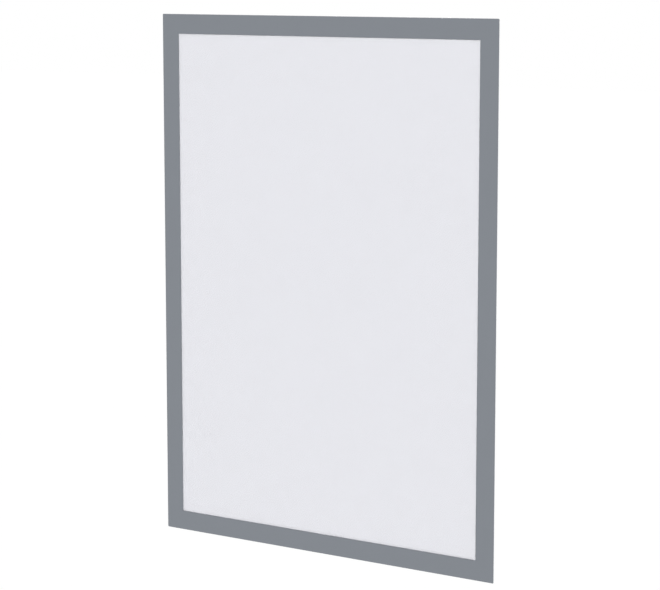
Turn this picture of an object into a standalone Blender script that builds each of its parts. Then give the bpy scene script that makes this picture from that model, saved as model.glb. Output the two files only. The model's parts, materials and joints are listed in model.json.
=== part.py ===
"""A self-adhesive display frame: a thin laminated wall frame that shows one portrait sheet of paper.

The rear half is a clear film with adhesive strips behind it and magnet strips in front of it. The cover is
a clear window film with a printed border on its front and facing magnet strips on its back. A folded film
joins the two halves along the left edge, and the cover swings open on it towards the viewer.

Metres, +Z up. The viewer stands on the -Y side, with +X to the right. The origin is the centre of the back,
in the plane where the adhesive meets the wall.
"""

import math

import bmesh
import bpy

# The paper that the frame is made for
SHEET_WIDTH = 0.297
SHEET_HEIGHT = 0.420
SHEET_THICKNESS = 0.0001

# The frame seen from the front
BORDER_WIDTH = 0.0165
SHEET_LAP = 0.0035
CORNER_RADIUS = 0.0008
WINDOW_CORNER_RADIUS = 0.0004

# The thickness of each layer
ADHESIVE_THICKNESS = 0.0002
BACK_FILM_THICKNESS = 0.00025
MAGNET_THICKNESS = 0.0005
WINDOW_FILM_THICKNESS = 0.00025
BORDER_FILM_THICKNESS = 0.00012
HINGE_FILM_THICKNESS = 0.0001

# What lies between the layers: a line of glue where they are bonded, and air where the magnets meet
GLUE_LINE = 0.00002
CONTACT_GAP = 0.00004

# The strips, and the clearances round them
STRIP_INSET = 0.0005
ADHESIVE_MARGIN = 0.0005
SHEET_CLEARANCE = 0.0005
BUTT_GAP = 0.0003
COVER_OVERHANG = 0.001

# The film hinge
HINGE_LEAF_MARGIN = 0.0005
HINGE_SETBACK = 0.0001
FOLD_STEPS = 12

CORNER_STEPS = 4

# The front, worked out from the paper
WINDOW_HALF_WIDTH = SHEET_WIDTH / 2 - SHEET_LAP
WINDOW_HALF_HEIGHT = SHEET_HEIGHT / 2 - SHEET_LAP
COVER_HALF_WIDTH = WINDOW_HALF_WIDTH + BORDER_WIDTH
COVER_HALF_HEIGHT = WINDOW_HALF_HEIGHT + BORDER_WIDTH

# The rear half is cut short on its three free edges, so that a finger can lift the cover
BACK_LEFT = -COVER_HALF_WIDTH
BACK_RIGHT = COVER_HALF_WIDTH - COVER_OVERHANG
BACK_HALF_HEIGHT = COVER_HALF_HEIGHT - COVER_OVERHANG

# The magnet strips are all of one width, and fill the room beside the sheet
STRIP_TOP = BACK_HALF_HEIGHT - STRIP_INSET
STRIP_RIGHT = BACK_RIGHT - STRIP_INSET
STRIP_LEFT = BACK_LEFT + STRIP_INSET
STRIP_WIDTH = STRIP_TOP - SHEET_HEIGHT / 2 - SHEET_CLEARANCE

# The heights of the layers above the wall
BACK_FILM_HEIGHT = ADHESIVE_THICKNESS + GLUE_LINE
REAR_MAGNET_HEIGHT = BACK_FILM_HEIGHT + BACK_FILM_THICKNESS + GLUE_LINE
REAR_FACE_HEIGHT = REAR_MAGNET_HEIGHT + MAGNET_THICKNESS
COVER_FACE_HEIGHT = REAR_FACE_HEIGHT + CONTACT_GAP
WINDOW_HEIGHT = COVER_FACE_HEIGHT + MAGNET_THICKNESS + GLUE_LINE
BORDER_HEIGHT = WINDOW_HEIGHT + WINDOW_FILM_THICKNESS + GLUE_LINE

# The left strips are thinner, by the hinge leaf that lies on each
LEAF_AND_GLUE = HINGE_FILM_THICKNESS + GLUE_LINE
HINGE_MAGNET_THICKNESS = MAGNET_THICKNESS - LEAF_AND_GLUE

# The hinge axis runs just outside the left edge, in the middle of the gap where the halves part
HINGE_X = -COVER_HALF_WIDTH - HINGE_SETBACK
HINGE_HEIGHT = REAR_FACE_HEIGHT + CONTACT_GAP / 2
FOLD_RADIUS = (CONTACT_GAP + HINGE_FILM_THICKNESS) / 2


def clear_scene():
    for thing in list(bpy.data.objects):
        bpy.data.objects.remove(thing, do_unlink=True)


def make_material(name, colour, roughness, alpha=1.0):
    material = bpy.data.materials.new(name)
    material.use_nodes = True
    surface = material.node_tree.nodes["Principled BSDF"]
    surface.inputs["Base Color"].default_value = (*colour, 1.0)
    surface.inputs["Roughness"].default_value = roughness
    surface.inputs["Metallic"].default_value = 0.0
    surface.inputs["Alpha"].default_value = alpha
    material.diffuse_color = (*colour, alpha)
    return material


def make_axis(name, x, height):
    """An empty that carries one half of the frame. Its place is where that half turns or is fixed."""
    axis = bpy.data.objects.new(name, None)
    axis.empty_display_type = "ARROWS"
    axis.empty_display_size = BORDER_WIDTH
    axis.location = (x, -height, 0)
    bpy.context.scene.collection.objects.link(axis)
    return axis


def add_object(name, shape, material, carrier):
    """Puts a finished bmesh, drawn in world space, into the scene with its origin at its carrier's."""
    bmesh.ops.recalc_face_normals(shape, faces=shape.faces)
    bmesh.ops.translate(shape, vec=-carrier.location, verts=shape.verts)
    mesh = bpy.data.meshes.new(name)
    shape.to_mesh(mesh)
    shape.free()
    mesh.materials.append(material)
    piece = bpy.data.objects.new(name, mesh)
    piece.parent = carrier
    bpy.context.scene.collection.objects.link(piece)
    return piece


def rounded_outline(left, right, bottom, top, radius):
    """The (x, z) points of a rectangle with round corners."""
    centres = (
        (right - radius, top - radius),
        (left + radius, top - radius),
        (left + radius, bottom + radius),
        (right - radius, bottom + radius),
    )
    points = []
    for quarter, (x, z) in enumerate(centres):
        for step in range(CORNER_STEPS + 1):
            turn = (quarter + step / CORNER_STEPS) * math.pi / 2
            points.append((x + radius * math.cos(turn), z + radius * math.sin(turn)))
    return points


def square_outline(left, right, bottom, top):
    """The (x, z) points of a rectangle cut square, as a strip is."""
    return [(right, top), (left, top), (left, bottom), (right, bottom)]


def ring_of_points(shape, outline, height):
    return [shape.verts.new((x, -height, z)) for x, z in outline]


def raise_faces(shape, thickness):
    """Extrudes the flat faces of a bmesh towards the viewer by a thickness."""
    raised = bmesh.ops.extrude_face_region(shape, geom=shape.faces[:])["geom"]
    verts = [item for item in raised if isinstance(item, bmesh.types.BMVert)]
    bmesh.ops.translate(shape, vec=(0, -thickness, 0), verts=verts)


def make_layer(name, outline, height, thickness, material, carrier):
    """A flat piece with this outline, whose rear face lies at this height above the wall."""
    shape = bmesh.new()
    shape.faces.new(ring_of_points(shape, outline, height))
    raise_faces(shape, thickness)
    return add_object(name, shape, material, carrier)


def strip_outlines(margin):
    """Four strips round the sheet, drawn in by a margin. The side ones run full height, the others butt."""
    left, right = STRIP_LEFT + margin, STRIP_RIGHT - margin
    inner_left, inner_right = STRIP_LEFT + STRIP_WIDTH - margin, STRIP_RIGHT - STRIP_WIDTH + margin
    outer_z, inner_z = STRIP_TOP - margin, STRIP_TOP - STRIP_WIDTH + margin
    across = (inner_left + BUTT_GAP, inner_right - BUTT_GAP)
    return {
        "top": square_outline(*across, inner_z, outer_z),
        "bottom": square_outline(*across, -outer_z, -inner_z),
        "left": square_outline(left, inner_left, -outer_z, outer_z),
        "right": square_outline(inner_right, right, -outer_z, outer_z),
    }


def make_adhesive_strips(material, carrier):
    """Double-sided strips on the back film, each behind a magnet strip and a little narrower."""
    for side, outline in strip_outlines(ADHESIVE_MARGIN).items():
        make_layer(f"adhesive_strip_{side}", outline, 0, ADHESIVE_THICKNESS, material, carrier)


def make_back_film(material, carrier):
    outline = rounded_outline(BACK_LEFT, BACK_RIGHT, -BACK_HALF_HEIGHT, BACK_HALF_HEIGHT, CORNER_RADIUS)
    make_layer("back_film", outline, BACK_FILM_HEIGHT, BACK_FILM_THICKNESS, material, carrier)


def make_insert_sheet(material, carrier):
    """The paper, which lies loose on the back film, between the magnet strips."""
    x = SHEET_WIDTH / 2
    z = SHEET_HEIGHT / 2
    outline = square_outline(-x, x, -z, z)
    make_layer("insert_sheet", outline, REAR_MAGNET_HEIGHT, SHEET_THICKNESS, material, carrier)


def make_magnets(half, height, left_height, material, carrier):
    """The four magnet strips of one half. The left one is thinner, and leaves room for the hinge film."""
    for side, outline in strip_outlines(0).items():
        on_hinge = side == "left"
        level = left_height if on_hinge else height
        thickness = HINGE_MAGNET_THICKNESS if on_hinge else MAGNET_THICKNESS
        make_layer(f"{half}_magnet_{side}", outline, level, thickness, material, carrier)


def make_hinge_film(material, carrier):
    """A film folded in two along the left edge, with one leaf bonded to each half's left strip."""
    leaf_end = STRIP_LEFT + STRIP_WIDTH - HINGE_LEAF_MARGIN
    path = [(leaf_end, HINGE_HEIGHT - FOLD_RADIUS)]
    for step in range(FOLD_STEPS + 1):
        turn = math.pi * step / FOLD_STEPS
        path.append((HINGE_X - FOLD_RADIUS * math.sin(turn), HINGE_HEIGHT - FOLD_RADIUS * math.cos(turn)))
    path.append((leaf_end, HINGE_HEIGHT + FOLD_RADIUS))

    shape = bmesh.new()
    lower = [shape.verts.new((x, -height, -STRIP_TOP)) for x, height in path]
    upper = [shape.verts.new((x, -height, STRIP_TOP)) for x, height in path]
    for here in range(len(path) - 1):
        shape.faces.new((lower[here], lower[here + 1], upper[here + 1], upper[here]))
    film = add_object("hinge_film", shape, material, carrier)
    solidify = film.modifiers.new("film_thickness", "SOLIDIFY")
    solidify.thickness = HINGE_FILM_THICKNESS
    solidify.offset = 0
    solidify.use_even_offset = True


def make_front_window(material, carrier):
    outline = rounded_outline(
        -COVER_HALF_WIDTH, COVER_HALF_WIDTH, -COVER_HALF_HEIGHT, COVER_HALF_HEIGHT, CORNER_RADIUS
    )
    make_layer("front_window", outline, WINDOW_HEIGHT, WINDOW_FILM_THICKNESS, material, carrier)


def make_front_border(material, carrier):
    """The printed border film, die-cut in one piece with the window as its hole."""
    outside = rounded_outline(
        -COVER_HALF_WIDTH, COVER_HALF_WIDTH, -COVER_HALF_HEIGHT, COVER_HALF_HEIGHT, CORNER_RADIUS
    )
    inside = rounded_outline(
        -WINDOW_HALF_WIDTH, WINDOW_HALF_WIDTH, -WINDOW_HALF_HEIGHT, WINDOW_HALF_HEIGHT, WINDOW_CORNER_RADIUS
    )
    shape = bmesh.new()
    outer = ring_of_points(shape, outside, BORDER_HEIGHT)
    inner = ring_of_points(shape, inside, BORDER_HEIGHT)
    for here in range(len(outer)):
        ahead = (here + 1) % len(outer)
        shape.faces.new((outer[here], outer[ahead], inner[ahead], inner[here]))
    raise_faces(shape, BORDER_FILM_THICKNESS)
    add_object("front_border", shape, material, carrier)


clear_scene()

adhesive = make_material("clear_acrylic_adhesive", (0.72, 0.72, 0.68), 0.35, 0.6)
clear_film = make_material("clear_film", (0.80, 0.82, 0.86), 0.2, 0.25)
paper = make_material("blank_paper", (0.80, 0.81, 0.85), 0.9)
magnet = make_material("magnet_rubber", (0.03, 0.028, 0.027), 0.65)
border_film = make_material("grey_border_film", (0.235, 0.250, 0.275), 0.45)

back_half = make_axis("back_half", 0, 0)
make_adhesive_strips(adhesive, back_half)
make_back_film(clear_film, back_half)
make_insert_sheet(paper, back_half)
make_magnets("rear", REAR_MAGNET_HEIGHT, REAR_MAGNET_HEIGHT, magnet, back_half)
make_hinge_film(border_film, back_half)

cover = make_axis("cover_hinge_axis", HINGE_X, HINGE_HEIGHT)
make_magnets("cover", COVER_FACE_HEIGHT, COVER_FACE_HEIGHT + LEAF_AND_GLUE, magnet, cover)
make_front_window(clear_film, cover)
make_front_border(border_film, cover)
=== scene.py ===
"""The looks of a self-adhesive display frame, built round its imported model.

The file follows the frame as it is put together, from the tape on its back to the printed border on its
front. Lengths are in metres, +Z is up, and the viewer stands on the -Y side. Each piece takes its size and
its place from the model.
"""

import json
import math

import bmesh
import bpy
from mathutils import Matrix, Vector


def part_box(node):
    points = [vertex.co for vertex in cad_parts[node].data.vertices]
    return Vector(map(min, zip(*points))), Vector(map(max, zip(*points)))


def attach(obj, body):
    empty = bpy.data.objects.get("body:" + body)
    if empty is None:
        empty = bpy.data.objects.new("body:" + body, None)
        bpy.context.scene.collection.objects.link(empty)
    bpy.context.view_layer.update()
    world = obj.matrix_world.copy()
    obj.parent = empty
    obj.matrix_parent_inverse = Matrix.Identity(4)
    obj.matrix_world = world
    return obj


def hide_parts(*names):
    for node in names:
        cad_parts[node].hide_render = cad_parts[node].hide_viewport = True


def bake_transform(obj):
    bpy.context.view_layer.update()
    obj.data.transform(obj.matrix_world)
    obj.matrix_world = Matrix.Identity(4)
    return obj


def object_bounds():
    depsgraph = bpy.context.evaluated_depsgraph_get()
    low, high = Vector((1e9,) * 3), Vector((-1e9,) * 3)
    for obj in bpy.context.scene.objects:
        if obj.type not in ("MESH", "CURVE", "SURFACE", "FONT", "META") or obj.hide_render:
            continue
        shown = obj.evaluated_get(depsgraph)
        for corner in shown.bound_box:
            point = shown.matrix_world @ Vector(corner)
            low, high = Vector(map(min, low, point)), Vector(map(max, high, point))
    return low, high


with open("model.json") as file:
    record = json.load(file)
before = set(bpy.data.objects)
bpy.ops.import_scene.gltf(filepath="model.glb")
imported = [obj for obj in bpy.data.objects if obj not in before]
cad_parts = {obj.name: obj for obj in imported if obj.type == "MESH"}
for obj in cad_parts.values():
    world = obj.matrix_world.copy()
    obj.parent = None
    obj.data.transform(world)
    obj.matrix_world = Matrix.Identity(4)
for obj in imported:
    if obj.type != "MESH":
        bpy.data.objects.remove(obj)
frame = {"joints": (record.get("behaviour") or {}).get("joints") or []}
model_low, model_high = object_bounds()


# Adhesive strips. Each is a double-sided tape, a thin carrier film with soft clear acrylic on both faces,
# cut square from a roll. They are rolled on to the rear of the back film, one behind each magnet strip, and
# hold the whole frame on its wall or pane once their liners are off.
WIDE, DEEP, TALL = 0, 1, 2
TAPE_CORNER = 0.0004
TAPE_EDGE = 0.00004
CARRIER_SETBACK = 0.00004
CORNER_STEPS = 6
EDGE_STEPS = 2
SMOOTH_BELOW = math.radians(20)
STRAIGHT_ENOUGH = 0.99
FLAT_ENOUGH = 0.5

SOFT_DETAIL = 2.0
FINE_DETAIL = 3.0
MIX_SHARE, MIX_FIRST, MIX_SECOND, MIX_RESULT = 0, 6, 7, 2

ACRYLIC_THICK = (0.42, 0.43, 0.40, 1.0)
ACRYLIC_THIN = (0.62, 0.63, 0.59, 1.0)
ACRYLIC_ALPHA = 0.07
ACRYLIC_IOR = 1.48
ACRYLIC_ROUGHNESS = 0.22
WET_PATCH = 0.004
WET_RANGE = (0.40, 0.62)
WET_TINT = 0.5
WET_ROUGHNESS = 0.18
AIR_SPOT = 0.0022
AIR_SPOT_RANGE = (0.11, 0.22)
AIR_TINT = 0.5
AIR_ROUGHNESS = 0.25
SURFACE_RIPPLE = 0.0012
RIPPLE_HEIGHT = 0.00004


class Value:
    """A number that varies over a surface. Sums and products of values add the nodes that work them out."""

    def __init__(self, recipe, socket):
        self.recipe = recipe
        self.socket = socket

    def __add__(self, other):
        return self.recipe.maths("ADD", self, other)

    def __radd__(self, other):
        return self.recipe.maths("ADD", other, self)

    def __sub__(self, other):
        return self.recipe.maths("SUBTRACT", self, other)

    def __rsub__(self, other):
        return self.recipe.maths("SUBTRACT", other, self)

    def __mul__(self, other):
        return self.recipe.maths("MULTIPLY", self, other)

    def __rmul__(self, other):
        return self.recipe.maths("MULTIPLY", other, self)


class Recipe:
    """The nodes of one finish. Its owner is a material or the world."""

    def __init__(self, owner):
        owner.use_nodes = True
        self.tree = owner.node_tree

    def fill(self, node, sockets):
        """Gives each named socket of a node its number, its colour or its link."""
        for name, value in sockets.items():
            if isinstance(value, Value):
                self.tree.links.new(value.socket, node.inputs[name])
            else:
                node.inputs[name].default_value = value

    def node(self, kind, settings, sockets, output=0):
        """Adds a node with its settings and sockets, and gives the value of one output."""
        made = self.tree.nodes.new(kind)
        for name, value in settings.items():
            setattr(made, name, value)
        self.fill(made, sockets)
        return Value(self, made.outputs[output])

    def maths(self, operation, first, second=0.0):
        return self.node("ShaderNodeMath", {"operation": operation}, {0: first, 1: second})

    def place(self, stretch=(1, 1, 1)):
        """Where a point lies on the piece. A small stretch draws a pattern out along that axis."""
        here = self.node("ShaderNodeTexCoord", {}, {}, output="Object")
        return self.node("ShaderNodeMapping", {"vector_type": "POINT"}, {"Vector": here, "Scale": stretch})

    def noise(self, size, detail=SOFT_DETAIL, stretch=(1, 1, 1)):
        """Cloudy noise from 0 to 1, whose patches are about this size."""
        return self.node(
            "ShaderNodeTexNoise", {}, {"Vector": self.place(stretch), "Scale": 1 / size, "Detail": detail}
        )

    def rise(self, value, low, high):
        """0 where a value is below low, 1 where it is above high, and smooth in between."""
        return self.node(
            "ShaderNodeMapRange",
            {"interpolation_type": "SMOOTHSTEP"},
            {"Value": value, "From Min": low, "From Max": high},
        )

    def tint(self, share, first, second):
        """The first colour where share is 0, and the second where it is 1."""
        return self.node(
            "ShaderNodeMix",
            {"data_type": "RGBA"},
            {MIX_SHARE: share, MIX_FIRST: first, MIX_SECOND: second},
            output=MIX_RESULT,
        )

    def relief(self, height, depth):
        """The surface's tilt where it rises by height times depth."""
        return self.node("ShaderNodeBump", {}, {"Height": height, "Distance": depth})

    def surface(self, sockets):
        """Feeds the material's one surface shader."""
        self.fill(self.tree.nodes["Principled BSDF"], sockets)


def start_block(name, low, high):
    """A block between two corners, open for editing. Its place is in its mesh."""
    bpy.ops.object.select_all(action="DESELECT")
    bpy.ops.mesh.primitive_cube_add(size=1, location=(low + high) / 2, scale=high - low)
    piece = bpy.context.object
    piece.name = name
    bpy.ops.object.transform_apply(location=True, rotation=True, scale=True)
    bpy.ops.object.mode_set(mode="EDIT")
    return piece


def pick_edges(wanted):
    """Selects the edges of the piece being edited that pass a test, and nothing else."""
    bpy.ops.mesh.select_mode(type="EDGE")
    bpy.ops.mesh.select_all(action="DESELECT")
    mesh = bpy.context.object.data
    drawn = bmesh.from_edit_mesh(mesh)
    drawn.normal_update()
    for edge in drawn.edges:
        edge.select_set(wanted(edge))
    drawn.select_flush_mode()
    bmesh.update_edit_mesh(mesh)


def runs_along(edge, axis):
    span = edge.verts[1].co - edge.verts[0].co
    return abs(span[axis]) > STRAIGHT_ENOUGH * span.length


def lies_flat(face):
    """Whether a face looks to the front or to the rear, and not to a side."""
    return abs(face.normal.y) > FLAT_ENOUGH


def is_rim(edge):
    """Whether the front or the rear face ends at this edge."""
    return sorted(lies_flat(face) for face in edge.link_faces) == [False, True]


def round_corners(radius):
    pick_edges(lambda edge: runs_along(edge, DEEP))
    bpy.ops.mesh.bevel(offset=radius, segments=CORNER_STEPS, affect="EDGES")


def soften_rims(width):
    pick_edges(is_rim)
    bpy.ops.mesh.bevel(offset=width, segments=EDGE_STEPS, affect="EDGES")


def close_piece(piece, material):
    """Ends the editing of a piece and gives it its finish."""
    bpy.ops.object.mode_set(mode="OBJECT")
    bpy.ops.object.shade_smooth_by_angle(angle=SMOOTH_BELOW)
    piece.data.name = piece.name
    piece.data.materials.append(material)


def copy_piece(piece, name, shift):
    """A copy with its own mesh, moved as a whole."""
    bpy.ops.object.select_all(action="DESELECT")
    piece.select_set(True)
    bpy.context.view_layer.objects.active = piece
    bpy.ops.object.duplicate()
    copy = bpy.context.object
    copy.name = name
    copy.data.name = name
    copy.location = shift
    bpy.ops.object.transform_apply(location=True, rotation=True, scale=True)
    return copy


def make_clear_acrylic():
    """Acrylic that has wetted the film behind it in patches, with small spots of trapped air."""
    material = bpy.data.materials.new("clear_acrylic_adhesive")
    finish = Recipe(material)
    wetting = finish.rise(finish.noise(WET_PATCH, FINE_DETAIL), *WET_RANGE)
    from_spot = finish.node("ShaderNodeTexVoronoi", {}, {"Vector": finish.place(), "Scale": 1 / AIR_SPOT})
    air = 1 - finish.rise(from_spot, *AIR_SPOT_RANGE)
    finish.surface({
        "Base Color": finish.tint(wetting * WET_TINT + air * AIR_TINT, ACRYLIC_THICK, ACRYLIC_THIN),
        "Roughness": ACRYLIC_ROUGHNESS + WET_ROUGHNESS * wetting + AIR_ROUGHNESS * air,
        "Normal": finish.relief(finish.noise(SURFACE_RIPPLE), RIPPLE_HEIGHT),
        "Alpha": ACRYLIC_ALPHA,
        "IOR": ACRYLIC_IOR,
    })
    return material


def make_tape(side, material):
    """A strip with round corners, whose carrier lies a little back between its two layers of acrylic."""
    low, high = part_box(f"adhesive_strip_{side}")
    tape = start_block(f"adhesive_tape_{side}", low, high)
    round_corners(TAPE_CORNER)
    bpy.ops.mesh.select_all(action="SELECT")
    bpy.ops.mesh.bisect(plane_co=(low + high) / 2, plane_no=(0, 1, 0))
    bpy.ops.transform.shrink_fatten(value=-CARRIER_SETBACK)
    soften_rims(TAPE_EDGE)
    close_piece(tape, material)
    return tape


clear_acrylic = make_clear_acrylic()
for side, opposite in (("top", "bottom"), ("left", "right")):
    tape = make_tape(side, clear_acrylic)
    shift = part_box(f"adhesive_strip_{opposite}")[0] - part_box(f"adhesive_strip_{side}")[0]
    twin = copy_piece(tape, f"adhesive_tape_{opposite}", shift)
    for where, piece in ((side, tape), (opposite, twin)):
        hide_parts(f"adhesive_strip_{where}")
        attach(piece, "back_panel")


# Back film. A stiff clear sheet with round die-cut corners, glossy on both faces. It carries the rear half:
# the tape is on its back, and the rear magnet strips are glued to its front.
FILM_CORNER = 0.0008
FILM_EDGE = 0.00004

FILM_IOR = 1.60
FILM_SPECULAR = 1.0
BACK_FILM_CLEAR = (0.34, 0.37, 0.42, 1.0)
BACK_FILM_SCUFFED = (0.48, 0.51, 0.55, 1.0)
BACK_FILM_ALPHA = 0.06
BACK_FILM_ROUGHNESS = 0.14
HANDLING_MARK = 0.03
MARK_RANGE = (0.45, 0.70)
MARK_ROUGHNESS = 0.08
SCUFF_WIDTH = 0.0006
SCUFF_DETAIL = 1.0
SCUFF_STRETCH = (1.0, 1.0, 0.03)
SCUFF_RANGE = (0.60, 0.75)
SCUFF_ROUGHNESS = 0.14

# Colours of the cut film edge: its frosted tone and die streaks, with a painted blue glow for light that
# leaves the film at its edge.
CUT_EDGE_PALE = (0.46, 0.51, 0.57, 1.0)
CUT_EDGE_DEEP = (0.34, 0.39, 0.45, 1.0)
CUT_EDGE_ALPHA = 0.6
CUT_EDGE_ROUGHNESS = 0.45
DIE_STREAK = 0.0004
DIE_STREAK_ROUGHNESS = 0.20


def make_clear_back_film():
    """A gloss film with fine upright scuffs, which gather where it has been handled."""
    material = bpy.data.materials.new("clear_back_film")
    finish = Recipe(material)
    marks = finish.rise(finish.noise(HANDLING_MARK, FINE_DETAIL), *MARK_RANGE)
    scuffs = finish.rise(finish.noise(SCUFF_WIDTH, SCUFF_DETAIL, SCUFF_STRETCH), *SCUFF_RANGE)
    finish.surface({
        "Base Color": finish.tint(scuffs * marks, BACK_FILM_CLEAR, BACK_FILM_SCUFFED),
        "Roughness": BACK_FILM_ROUGHNESS + MARK_ROUGHNESS * marks + SCUFF_ROUGHNESS * scuffs,
        "Alpha": BACK_FILM_ALPHA,
        "IOR": FILM_IOR,
        "Specular IOR Level": FILM_SPECULAR,
    })
    return material


def make_cut_film_edge():
    """The die leaves a frosted edge. Its colour also holds a painted blue glow, for the light that runs
    inside the film and comes out there.
    """
    material = bpy.data.materials.new("cut_film_edge")
    finish = Recipe(material)
    streaks = finish.noise(DIE_STREAK)
    finish.surface({
        "Base Color": finish.tint(streaks, CUT_EDGE_DEEP, CUT_EDGE_PALE),
        "Roughness": CUT_EDGE_ROUGHNESS + DIE_STREAK_ROUGHNESS * streaks,
        "Alpha": CUT_EDGE_ALPHA,
        "IOR": FILM_IOR,
    })
    return material


def dress_rim(sheet, material):
    """Gives the faces round the rim of a sheet their own finish."""
    sheet.data.materials.append(material)
    for face in sheet.data.polygons:
        if not lies_flat(face):
            face.material_index = len(sheet.data.materials) - 1


cut_film_edge = make_cut_film_edge()
back_low, back_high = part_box("back_film")
back_sheet = start_block("back_film_sheet", back_low, back_high)
round_corners(FILM_CORNER)
soften_rims(FILM_EDGE)
close_piece(back_sheet, make_clear_back_film())
dress_rim(back_sheet, cut_film_edge)
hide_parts("back_film")
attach(back_sheet, "back_panel")


# Rear magnet strips. Flexible strips of ferrite powder in rubber, calendered to one thickness, slit to one
# width and cut square. They are glued to the back film round the paper. The left one is thinner, because the
# hinge film lies on it.
STRIP_EDGE = 0.00005
STRIP_LINES = 11
LINE_DEPTH = 0.00002

RUBBER_DARK = (0.020, 0.018, 0.017, 1.0)
RUBBER_WORN = (0.055, 0.050, 0.047, 1.0)
RUBBER_ROUGHNESS = 0.50
RUBBER_RELIEF = 0.00002
POWDER_GRAIN = 0.0003
GRAIN_TINT = 0.35
GRAIN_ROUGHNESS = 0.15
GRAIN_RELIEF_SHARE = 0.6
CALENDER_STREAK = 0.0007
STREAK_TINT = 0.4
STREAK_RELIEF_SHARE = 0.4
LEVEL_STRETCH = (0.02, 1.0, 1.0)
UPRIGHT_STRETCH = (1.0, 1.0, 0.02)
HAND_SMUDGE = 0.012
SMUDGE_RANGE = (0.40, 0.65)
SMUDGE_TINT = 0.2
SMUDGE_ROUGHNESS = 0.12


def make_magnet_rubber(name, stretch):
    """The rubber of strips that run one way. The stretch draws its calender lines out along the strip."""
    material = bpy.data.materials.new(name)
    finish = Recipe(material)
    grain = finish.noise(POWDER_GRAIN, FINE_DETAIL)
    streaks = finish.noise(CALENDER_STREAK, SOFT_DETAIL, stretch)
    smudges = finish.rise(finish.noise(HAND_SMUDGE, FINE_DETAIL), *SMUDGE_RANGE)
    worn = GRAIN_TINT * grain + STREAK_TINT * streaks + SMUDGE_TINT * smudges
    finish.surface({
        "Base Color": finish.tint(worn, RUBBER_DARK, RUBBER_WORN),
        "Roughness": RUBBER_ROUGHNESS + GRAIN_ROUGHNESS * grain + SMUDGE_ROUGHNESS * smudges,
        "Normal": finish.relief(GRAIN_RELIEF_SHARE * grain + STREAK_RELIEF_SHARE * streaks, RUBBER_RELIEF),
    })
    return material


def make_magnet_strip(name, node, facing, material):
    """A strip whose inner face has the calender's fine lengthwise lines.

    Facing is 1 where the inner face looks to the rear, +Y, and -1 where it looks to the viewer.
    """
    low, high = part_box(node)
    size = high - low
    along, across = (WIDE, TALL) if size.x > size.z else (TALL, WIDE)
    face_y = high.y if facing > 0 else low.y
    strip = start_block(name, low, high)
    soften_rims(STRIP_EDGE)
    pick_edges(lambda edge: runs_along(edge, across))
    bpy.ops.mesh.subdivide(number_cuts=STRIP_LINES)
    pitch = size[across] / (STRIP_LINES + 1)

    def is_line(edge):
        """Whether an edge is a line to press in. Every second one that runs along the inner face is."""
        middle = (edge.verts[0].co + edge.verts[1].co) / 2
        from_side = middle[across] - low[across]
        is_inside = STRIP_EDGE < from_side < size[across] - STRIP_EDGE
        is_on_face = abs(middle.y - face_y) < STRIP_EDGE / 2
        is_odd = round(from_side / pitch) % 2 == 1
        return runs_along(edge, along) and is_on_face and is_inside and is_odd

    pick_edges(is_line)
    bpy.ops.transform.translate(value=(0, -facing * LINE_DEPTH, 0))
    close_piece(strip, material)
    return strip


level_rubber = make_magnet_rubber("magnet_rubber_level", LEVEL_STRETCH)
upright_rubber = make_magnet_rubber("magnet_rubber_upright", UPRIGHT_STRETCH)


def make_magnet_ring(half, facing):
    """The four strips of one half, by side. Top and bottom are alike, so the bottom one is a copy."""
    strips = {
        side: make_magnet_strip(f"{half}_magnet_strip_{side}", f"{half}_magnet_{side}", facing, rubber)
        for side, rubber in (("top", level_rubber), ("left", upright_rubber), ("right", upright_rubber))
    }
    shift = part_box(f"{half}_magnet_bottom")[0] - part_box(f"{half}_magnet_top")[0]
    strips["bottom"] = copy_piece(strips["top"], f"{half}_magnet_strip_bottom", shift)
    return strips


for side, strip in make_magnet_ring("rear", -1).items():
    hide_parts(f"rear_magnet_{side}")
    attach(strip, "back_panel")


# Insert sheet. One blank sheet of office paper, guillotined to size, which lies loose between the rear
# magnet strips. It has lain rolled in its packet, so it cockles a little. The closed cover keeps it flat.
PAPER_COLUMNS = 36
PAPER_ROWS = 50
COCKLE_SIZE = 0.09
COCKLE_HEIGHT = 0.00008

PAPER_PALE = (0.902, 0.899, 0.935, 1.0)
PAPER_SHADE = (0.862, 0.859, 0.895, 1.0)
PAPER_ROUGHNESS = 0.82
PAPER_SPECULAR = 0.3
FIBRE_WIDTH = 0.00012
FIBRE_HEIGHT = 0.000006
UPRIGHT_FIBRES = (1.0, 1.0, 0.15)
LEVEL_FIBRES = (0.15, 1.0, 1.0)
FIBRES_EACH_WAY = 0.5
FIBRE_TINT = 0.5
FIBRE_ROUGHNESS = 0.10
FORMATION_SIZE = 0.006
FORMATION_DETAIL = 4.0
FORMATION_TINT = 0.5


def make_blank_paper():
    """Fine fibres that cross, over the cloudy look-through of office paper."""
    material = bpy.data.materials.new("blank_paper")
    finish = Recipe(material)
    upright = finish.noise(FIBRE_WIDTH, SOFT_DETAIL, UPRIGHT_FIBRES)
    level = finish.noise(FIBRE_WIDTH, SOFT_DETAIL, LEVEL_FIBRES)
    fibres = FIBRES_EACH_WAY * upright + FIBRES_EACH_WAY * level
    formation = finish.noise(FORMATION_SIZE, FORMATION_DETAIL)
    finish.surface({
        "Base Color": finish.tint(FIBRE_TINT * fibres + FORMATION_TINT * formation, PAPER_SHADE, PAPER_PALE),
        "Roughness": PAPER_ROUGHNESS + FIBRE_ROUGHNESS * fibres,
        "Normal": finish.relief(fibres, FIBRE_HEIGHT),
        "Specular IOR Level": PAPER_SPECULAR,
    })
    return material


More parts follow.
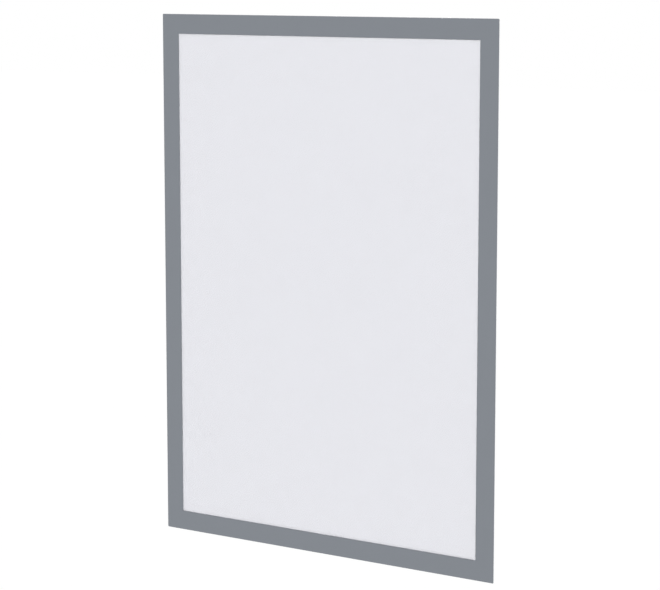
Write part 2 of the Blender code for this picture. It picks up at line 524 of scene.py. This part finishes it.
def start_sheet(name, low, high, columns=1, rows=1):
    """A flat upright grid between two corners, midway through their depth. It has no thickness yet."""
    bpy.ops.object.select_all(action="DESELECT")
    bpy.ops.mesh.primitive_grid_add(
        x_subdivisions=columns,
        y_subdivisions=rows,
        size=1,
        location=(low + high) / 2,
        rotation=(math.pi / 2, 0, 0),
    )
    piece = bpy.context.object
    piece.name = name
    piece.scale = (high.x - low.x, high.z - low.z, 1)
    bpy.ops.object.transform_apply(location=True, rotation=True, scale=True)
    return piece


def make_paper():
    """A grid that a slow cloud pattern lifts here and there, given the paper's thickness."""
    low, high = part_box("insert_sheet")
    paper = start_sheet("paper_sheet", low, high, PAPER_COLUMNS, PAPER_ROWS)

    clouds = bpy.data.textures.new("paper_cockle", "CLOUDS")
    clouds.noise_scale = COCKLE_SIZE
    bpy.ops.object.modifier_add(type="DISPLACE")
    cockle = paper.modifiers[-1]
    cockle.texture = clouds
    cockle.texture_coords = "LOCAL"
    cockle.direction = "Y"
    cockle.mid_level = 1.0
    cockle.strength = COCKLE_HEIGHT
    bpy.ops.object.modifier_apply(modifier=cockle.name)

    bpy.ops.object.modifier_add(type="SOLIDIFY")
    body = paper.modifiers[-1]
    body.thickness = high.y - low.y
    body.offset = 0
    bpy.ops.object.modifier_apply(modifier=body.name)
    close_piece(paper, make_blank_paper())
    return paper


paper = make_paper()
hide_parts("insert_sheet")
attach(paper, "back_panel")


# Hinge film. One strip of soft grey vinyl, folded in two down the left edge. One leaf is glued on the rear
# left magnet strip and the other on the cover's, so the fold is the hinge that the cover swings on.
FOLD_STEPS = 12
LEAF_EDGE = 0.00002
MERGE_WITHIN = LEAF_EDGE / 10

HINGE_GREY = (0.200, 0.214, 0.236, 1.0)
HINGE_GREY_PALE = (0.235, 0.250, 0.275, 1.0)
CREASE_WHITENED = (0.34, 0.35, 0.38, 1.0)
CREASE_TINT = 0.6
CREASE_RANGE = (0.0001, 0.0006)
VINYL_ROUGHNESS = 0.50
VINYL_GRAIN = 0.0005
VINYL_GRAIN_ROUGHNESS = 0.12
VINYL_GRAIN_HEIGHT = 0.00003

hinge_axis = Vector(frame["joints"][0]["pos_m"])


def make_hinge_vinyl():
    """Grained vinyl that has whitened along its fold."""
    material = bpy.data.materials.new("grey_hinge_vinyl")
    finish = Recipe(material)
    grain = finish.noise(VINYL_GRAIN, FINE_DETAIL)
    across = finish.node("ShaderNodeSeparateXYZ", {}, {"Vector": finish.place()}, output="X")
    from_fold = finish.maths("ABSOLUTE", across - hinge_axis.x)
    crease = 1 - finish.rise(from_fold, *CREASE_RANGE)
    vinyl = finish.tint(grain, HINGE_GREY, HINGE_GREY_PALE)
    finish.surface({
        "Base Color": finish.tint(crease * CREASE_TINT, vinyl, CREASE_WHITENED),
        "Roughness": VINYL_ROUGHNESS + VINYL_GRAIN_ROUGHNESS * grain,
        "Normal": finish.relief(grain, VINYL_GRAIN_HEIGHT),
    })
    return material


def make_hinge_strip(gap_rear):
    """The middle of the film is drawn first, then given its thickness.

    It starts as the rear leaf, whose end is spun round the axis and drawn on as the cover's leaf.
    """
    low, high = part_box("hinge_film")
    leaf = high.x - hinge_axis.x
    thickness = high.y - gap_rear
    film = start_sheet("hinge_strip", Vector((hinge_axis.x, gap_rear, low.z)), high)
    bpy.ops.object.mode_set(mode="EDIT")
    pick_edges(lambda edge: all(vert.co.x < hinge_axis.x + LEAF_EDGE for vert in edge.verts))
    bpy.ops.mesh.spin(steps=FOLD_STEPS, angle=math.pi, center=hinge_axis, axis=(0, 0, -1))
    bpy.ops.mesh.extrude_region_move(TRANSFORM_OT_translate={"value": (leaf, 0, 0)})
    bpy.ops.mesh.select_all(action="SELECT")
    bpy.ops.mesh.remove_doubles(threshold=MERGE_WITHIN)
    bpy.ops.mesh.normals_make_consistent(inside=False)
    bpy.ops.object.mode_set(mode="OBJECT")

    bpy.ops.object.modifier_add(type="SOLIDIFY")
    body = film.modifiers[-1]
    body.thickness = thickness
    body.offset = 0
    body.use_even_offset = True
    bpy.ops.object.modifier_apply(modifier=body.name)
    close_piece(film, make_hinge_vinyl())
    return film


gap_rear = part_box("rear_magnet_right")[0].y
hinge_strip = make_hinge_strip(gap_rear)
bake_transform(hinge_strip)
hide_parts("hinge_film")


# Cover magnet strips. The same rubber strips as on the rear half, glued to the back of the window film with
# their poles turned to meet the rear ones. Face to face, they hold the cover shut.
for side, strip in make_magnet_ring("cover", 1).items():
    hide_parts(f"cover_magnet_{side}")
    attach(strip, "cover")


# Front window. A clear stiff film with a fine matt coat that kills reflections, die-cut to the full size of
# the cover. The magnet strips are glued to its back and the printed border to its front.
WINDOW_CLEAR = (0.43, 0.46, 0.51, 1.0)
WINDOW_HAZE = (0.48, 0.51, 0.56, 1.0)
WINDOW_ALPHA = 0.07
WINDOW_ROUGHNESS = 0.34
COAT_GRAIN = 0.00015
COAT_HEIGHT = 0.000004
COAT_ROUGHNESS = 0.10
HAZE_PATCH = 0.05


def make_matt_window_film():
    """A clear film with a finely grained coat and a slight haze in patches."""
    material = bpy.data.materials.new("matt_window_film")
    finish = Recipe(material)
    coat = finish.noise(COAT_GRAIN)
    haze = finish.noise(HAZE_PATCH, FINE_DETAIL)
    finish.surface({
        "Base Color": finish.tint(haze, WINDOW_CLEAR, WINDOW_HAZE),
        "Roughness": WINDOW_ROUGHNESS + COAT_ROUGHNESS * coat,
        "Normal": finish.relief(coat, COAT_HEIGHT),
        "Alpha": WINDOW_ALPHA,
        "IOR": FILM_IOR,
        "Specular IOR Level": FILM_SPECULAR,
    })
    return material


window_low, window_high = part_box("front_window")
window_sheet = start_block("window_film_sheet", window_low, window_high)
round_corners(FILM_CORNER)
soften_rims(FILM_EDGE)
close_piece(window_sheet, make_matt_window_film())
dress_rim(window_sheet, cut_film_edge)
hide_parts("front_window")
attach(window_sheet, "cover")


# Front border. A satin grey vinyl film, die-cut in one piece with the window as its hole and glued on the
# window film. It hides the magnet strips, and its face is plain all the way round.
BORDER_WIDTH = 0.0165
WINDOW_CORNER = 0.0004
BORDER_EDGE = 0.00003

BORDER_GREY = (0.184, 0.200, 0.223, 1.0)
BORDER_GREY_PALE = (0.200, 0.217, 0.242, 1.0)
BORDER_ROUGHNESS = 0.40
SATIN_GRAIN = 0.00035
SATIN_HEIGHT = 0.000012
SATIN_TINT = 0.5
SATIN_ROUGHNESS = 0.08
INK_PATCH = 0.02
INK_TINT = 0.5
INK_ROUGHNESS = 0.04


def make_satin_border_film():
    """Finely grained vinyl, whose ink lies a little unevenly."""
    material = bpy.data.materials.new("satin_grey_border")
    finish = Recipe(material)
    grain = finish.noise(SATIN_GRAIN, FINE_DETAIL)
    ink = finish.noise(INK_PATCH, FINE_DETAIL)
    finish.surface({
        "Base Color": finish.tint(SATIN_TINT * grain + INK_TINT * ink, BORDER_GREY, BORDER_GREY_PALE),
        "Roughness": BORDER_ROUGHNESS + SATIN_ROUGHNESS * grain + INK_ROUGHNESS * ink,
        "Normal": finish.relief(grain, SATIN_HEIGHT),
    })
    return material


def make_border_sheet():
    """A sheet whose window is inset and cut out. It then gets its thickness, corners and soft rims."""
    low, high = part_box("front_border")
    size = high - low
    sheet = start_sheet("border_film_sheet", low, Vector((high.x, low.y, high.z)))
    bpy.ops.object.mode_set(mode="EDIT")
    bpy.ops.mesh.select_all(action="SELECT")
    bpy.ops.mesh.inset(thickness=BORDER_WIDTH, depth=0)
    bpy.ops.mesh.delete(type="FACE")
    bpy.ops.mesh.select_all(action="SELECT")
    bpy.ops.mesh.extrude_region_move(TRANSFORM_OT_translate={"value": (0, size.y, 0)})
    bpy.ops.mesh.select_all(action="SELECT")
    bpy.ops.mesh.normals_make_consistent(inside=False)

    def is_outer(edge):
        return abs(edge.verts[0].co.x) > size.x / 2 - BORDER_WIDTH / 2

    pick_edges(lambda edge: runs_along(edge, DEEP) and is_outer(edge))
    bpy.ops.mesh.bevel(offset=FILM_CORNER, segments=CORNER_STEPS, affect="EDGES")
    pick_edges(lambda edge: runs_along(edge, DEEP) and not is_outer(edge))
    bpy.ops.mesh.bevel(offset=WINDOW_CORNER, segments=CORNER_STEPS, affect="EDGES")
    soften_rims(BORDER_EDGE)
    close_piece(sheet, make_satin_border_film())
    return sheet


border_sheet = make_border_sheet()
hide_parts("front_border")
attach(border_sheet, "cover")


# Stage. A plain pale floor below the frame, which hangs at eye level, in a plain soft light. What the
# camera, the gloss and the clear films see of the surroundings is white. The floor keeps a tenth of its own
# shading there, and so its shadows.
FLOOR_DROP = 1.5
FLOOR_SIZE = 60.0
FLOOR_PALE = (0.60, 0.60, 0.60, 1.0)
FLOOR_ROUGHNESS = 0.9
FLOOR_SPECULAR = 0.0
FLOOR_WHITE_SHARE = 0.9
FLOOR_WHITE_STRENGTH = 1.083
SHADER_SHARE, FIRST_SHADER, SECOND_SHADER = 0, 1, 2
WHITE = (1.0, 1.0, 1.0, 1.0)
BACKDROP_STRENGTH = 1.0
AMBIENT = 0.15
KEY_STRENGTH = 3.05
KEY_FROM = (30, 10)
FILL_STRENGTH = 2.70
FILL_FROM = (205, 12)
SOFTNESS = math.radians(16)


def seen_directly(recipe):
    """1 for the rays that show a background: those of the camera, of gloss and of clear films."""
    rays = [
        recipe.node("ShaderNodeLightPath", {}, {}, output=name)
        for name in ("Is Camera Ray", "Is Glossy Ray", "Is Transmission Ray")
    ]
    return recipe.maths("MAXIMUM", recipe.maths("MAXIMUM", rays[0], rays[1]), rays[2])


bpy.ops.object.select_all(action="DESELECT")
bpy.ops.mesh.primitive_plane_add(size=FLOOR_SIZE, location=(0, 0, model_low.z - FLOOR_DROP))
floor = bpy.context.object
floor.name = "studio_floor"
floor_material = bpy.data.materials.new("pale_floor")
floor_paint = Recipe(floor_material)
floor_paint.surface({
    "Base Color": FLOOR_PALE,
    "Roughness": FLOOR_ROUGHNESS,
    "Specular IOR Level": FLOOR_SPECULAR,
})
glow = floor_paint.node("ShaderNodeEmission", {}, {"Color": WHITE, "Strength": FLOOR_WHITE_STRENGTH})
shown = floor_paint.node(
    "ShaderNodeMixShader",
    {},
    {
        SHADER_SHARE: seen_directly(floor_paint) * FLOOR_WHITE_SHARE,
        FIRST_SHADER: Value(floor_paint, floor_paint.tree.nodes["Principled BSDF"].outputs[0]),
        SECOND_SHADER: glow,
    },
)
floor_paint.fill(floor_paint.tree.nodes["Material Output"], {"Surface": shown})
floor.data.materials.append(floor_material)

world = bpy.data.worlds.new("soft_studio")
bpy.context.scene.world = world
sky = Recipe(world)
ambient = sky.node("ShaderNodeBackground", {}, {"Color": WHITE, "Strength": AMBIENT})
backdrop = sky.node("ShaderNodeBackground", {}, {"Color": WHITE, "Strength": BACKDROP_STRENGTH})
surroundings = sky.node(
    "ShaderNodeMixShader",
    {},
    {SHADER_SHARE: seen_directly(sky), FIRST_SHADER: ambient, SECOND_SHADER: backdrop},
)
sky.fill(sky.tree.nodes["World Output"], {"Surface": surroundings})


def add_soft_sun(name, strength, azimuth, elevation):
    """A broad even light from a direction, in degrees, as the views count them."""
    bpy.ops.object.light_add(
        type="SUN", rotation=(math.radians(90 - elevation), 0, math.radians(azimuth))
    )
    sun = bpy.context.object
    sun.name = name
    sun.data.energy = strength
    sun.data.angle = SOFTNESS


add_soft_sun("key_light", KEY_STRENGTH, *KEY_FROM)
add_soft_sun("fill_light", FILL_STRENGTH, *FILL_FROM)


# Camera. It stands to the right of the frame and a little above its middle. Its lens is shifted a little, so
# that the frame's uprights lean together less. A larger shift would crop the frame in the other views.
PICTURE_WIDTH = 660
SENSOR_WIDTH = 36.0
VIEW_AZIMUTH = math.radians(32.83)
VIEW_ELEVATION = math.radians(7.84)
VIEW_DISTANCE = 1.7366
FOCAL_PIXELS = 2124.6
AIM_RIGHT = 0.0071
AIM_UP = 0.0250
CENTRE_RAISED_PIXELS = 35

bpy.ops.object.camera_add(rotation=(math.pi / 2 - VIEW_ELEVATION, 0, VIEW_AZIMUTH))
camera = bpy.context.object
camera.name = "view_camera"
towards_camera = Vector((
    math.sin(VIEW_AZIMUTH) * math.cos(VIEW_ELEVATION),
    -math.cos(VIEW_AZIMUTH) * math.cos(VIEW_ELEVATION),
    math.sin(VIEW_ELEVATION),
))
camera.location = Vector((AIM_RIGHT, model_low.y, AIM_UP)) + towards_camera * VIEW_DISTANCE
camera.data.sensor_width = SENSOR_WIDTH
camera.data.lens = FOCAL_PIXELS / PICTURE_WIDTH * SENSOR_WIDTH
camera.data.shift_y = -CENTRE_RAISED_PIXELS / PICTURE_WIDTH
bpy.context.scene.camera = camera
bpy.context.scene.view_settings.view_transform = "Standard"
